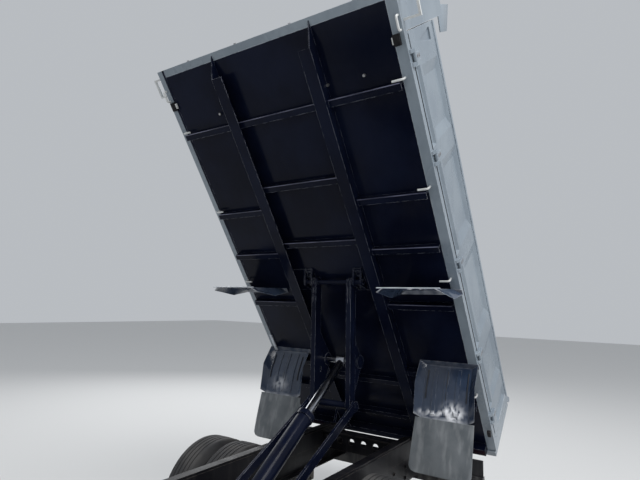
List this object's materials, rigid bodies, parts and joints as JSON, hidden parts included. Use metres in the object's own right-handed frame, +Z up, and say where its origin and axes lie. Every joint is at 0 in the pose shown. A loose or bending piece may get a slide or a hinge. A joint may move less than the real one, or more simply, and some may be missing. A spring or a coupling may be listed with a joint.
{
  "type": "dump truck",
  "caption": "Small cab-over dump truck with its drop-side bed tipped up on a folding-arm hydraulic hoist, twin rear wheels and bent steel wheel guards under the bed.",
  "frame": {"origin": "middle of the footprint at ground level, with the bed tipped", "axes": "+X forward, +Y to the truck's left, +Z up"},
  "size_m": [5.2112, 2.1, 3.4993],
  "materials": {
    "paint_white": "gloss",
    "paint_blue_grey": "satin",
    "paint_black": "satin",
    "paint_navy": "gloss",
    "guard_steel": "satin",
    "cast": "rough",
    "steel": "worn",
    "wheel_paint": "satin",
    "tyre": "matte",
    "rubber": "matte",
    "glass": "clear",
    "lamp_clear": "gloss",
    "plastic_black": "matte",
    "plastic_grey": "matte",
    "seat_cloth": "matte"
  },
  "bodies": {
    "chassis": {"frame_rails": "paint_black", "cross_members": "paint_black", "subframe": "paint_black", "axles": "cast", "leaf_springs": "cast", "drivetrain": "cast", "fuel_tank": "paint_black", "battery_box": "plastic_black", "exhaust": "steel", "bumpers": "plastic_grey", "lamps": "lamp_clear", "cab_shell": "paint_white", "cab_glass": "glass", "grille": "plastic_black", "dashboard": "plastic_grey", "seats": "seat_cloth", "mirrors": "plastic_black"},
    "bed": {"bed_floor": "paint_navy", "bed_sills": "paint_navy", "bed_crossmembers": "paint_navy", "bed_body": "paint_blue_grey", "rail_fittings": "paint_white", "wheel_guards": "guard_steel", "mud_flaps": "rubber"},
    "tailgate": {"tailgate": "paint_blue_grey"},
    "lift_arm": {"lift_arm": "paint_navy"},
    "tension_links": {"tension_links": "paint_navy"},
    "ram_barrel": {"ram_barrel": "paint_navy"},
    "ram_rod": {"ram_rod": "steel"},
    "door_left": {"door_left": "paint_white", "door_glass_left": "glass"},
    "knuckle_left": {"knuckle_left": "cast"},
    "front_wheel_left": {"front_tyre_left": "tyre", "front_wheel_left": "wheel_paint"},
    "rear_wheels_left": {"rear_tyres_left": "tyre", "rear_wheels_left": "wheel_paint"},
    "side_board_left": {"side_board_left": "paint_blue_grey"},
    "door_right": {"door_right": "paint_white", "door_glass_right": "glass"},
    "knuckle_right": {"knuckle_right": "cast"},
    "front_wheel_right": {"front_tyre_right": "tyre", "front_wheel_right": "wheel_paint"},
    "rear_wheels_right": {"rear_tyres_right": "tyre", "rear_wheels_right": "wheel_paint"},
    "side_board_right": {"side_board_right": "paint_blue_grey"}
  },
  "joints": [
    {"name": "bed_tip", "type": "hinge", "parent": "chassis", "child": "bed", "pos_m": [-1.95437, 0, 0.63], "axis": [0, 1, 0], "range_deg": [0, 54.07]},
    {"name": "lift_arm_turn", "type": "hinge", "parent": "bed", "child": "lift_arm", "pos_m": [-1.27956, 0, 1.78102], "axis": [0, 1, 0], "range_deg": [0, 19.13]},
    {"name": "tension_link_turn", "type": "hinge", "parent": "chassis", "child": "tension_links", "pos_m": [-0.49437, 0, 0.584], "axis": [0, -1, 0], "range_deg": [0, 28.94]},
    {"name": "ram_turn", "type": "hinge", "parent": "chassis", "child": "ram_barrel", "pos_m": [-0.36937, 0, 0.526], "axis": [0, -1, 0], "range_deg": [0, 19.46]},
    {"name": "ram_slide", "type": "slide", "parent": "ram_barrel", "child": "ram_rod", "axis": [0.8234, 0, -0.5675], "range_m": [0, 0.44633]},
    {"name": "tailgate_swing", "type": "hinge", "parent": "bed", "child": "tailgate", "pos_m": [-2.58563, 0, 0.93309], "axis": [0, 1, 0], "range_deg": [0, 90]},
    {"name": "side_board_left_drop", "type": "hinge", "parent": "bed", "child": "side_board_left", "pos_m": [-1.36158, 0.85, 1.80588], "axis": [-0.5868, 0, -0.8097], "range_deg": [0, 175]},
    {"name": "door_left_swing", "type": "hinge", "parent": "chassis", "child": "door_left", "pos_m": [2.40563, 0.859, 1], "axis": [0, 0, -1], "range_deg": [0, 68]},
    {"name": "steer_left", "type": "hinge", "parent": "chassis", "child": "knuckle_left", "pos_m": [1.50563, 0.59, 0.355], "axis": [0, 0, 1], "range_deg": [-35, 35]},
    {"name": "front_wheel_left_spin", "type": "hinge", "parent": "knuckle_left", "child": "front_wheel_left", "pos_m": [1.50563, 0.7, 0.355], "axis": [0, 1, 0], "continuous": true},
    {"name": "rear_wheels_left_spin", "type": "hinge", "parent": "chassis", "child": "rear_wheels_left", "pos_m": [-0.99437, 0.62, 0.355], "axis": [0, 1, 0], "continuous": true},
    {"name": "side_board_right_drop", "type": "hinge", "parent": "bed", "child": "side_board_right", "pos_m": [-1.36158, -0.85, 1.80588], "axis": [0.5868, 0, 0.8097], "range_deg": [0, 175]},
    {"name": "door_right_swing", "type": "hinge", "parent": "chassis", "child": "door_right", "pos_m": [2.40563, -0.859, 1], "axis": [0, 0, 1], "range_deg": [0, 68]},
    {"name": "steer_right", "type": "hinge", "parent": "chassis", "child": "knuckle_right", "pos_m": [1.50563, -0.59, 0.355], "axis": [0, 0, 1], "range_deg": [-35, 35]},
    {"name": "front_wheel_right_spin", "type": "hinge", "parent": "knuckle_right", "child": "front_wheel_right", "pos_m": [1.50563, -0.7, 0.355], "axis": [0, 1, 0], "continuous": true},
    {"name": "rear_wheels_right_spin", "type": "hinge", "parent": "chassis", "child": "rear_wheels_right", "pos_m": [-0.99437, -0.62, 0.355], "axis": [0, 1, 0], "continuous": true}
  ],
  "couplings": [
    {"joint": "lift_arm_turn", "follows": "bed_tip", "ratio": 0.35357},
    {"joint": "tension_link_turn", "follows": "bed_tip", "ratio": 0.53507},
    {"joint": "ram_turn", "follows": "bed_tip", "ratio": 0.35977},
    {"joint": "ram_slide", "follows": "bed_tip", "m_per_rad": 0.47286},
    {"joint": "steer_right", "follows": "steer_left", "ratio": 1}
  ]
}
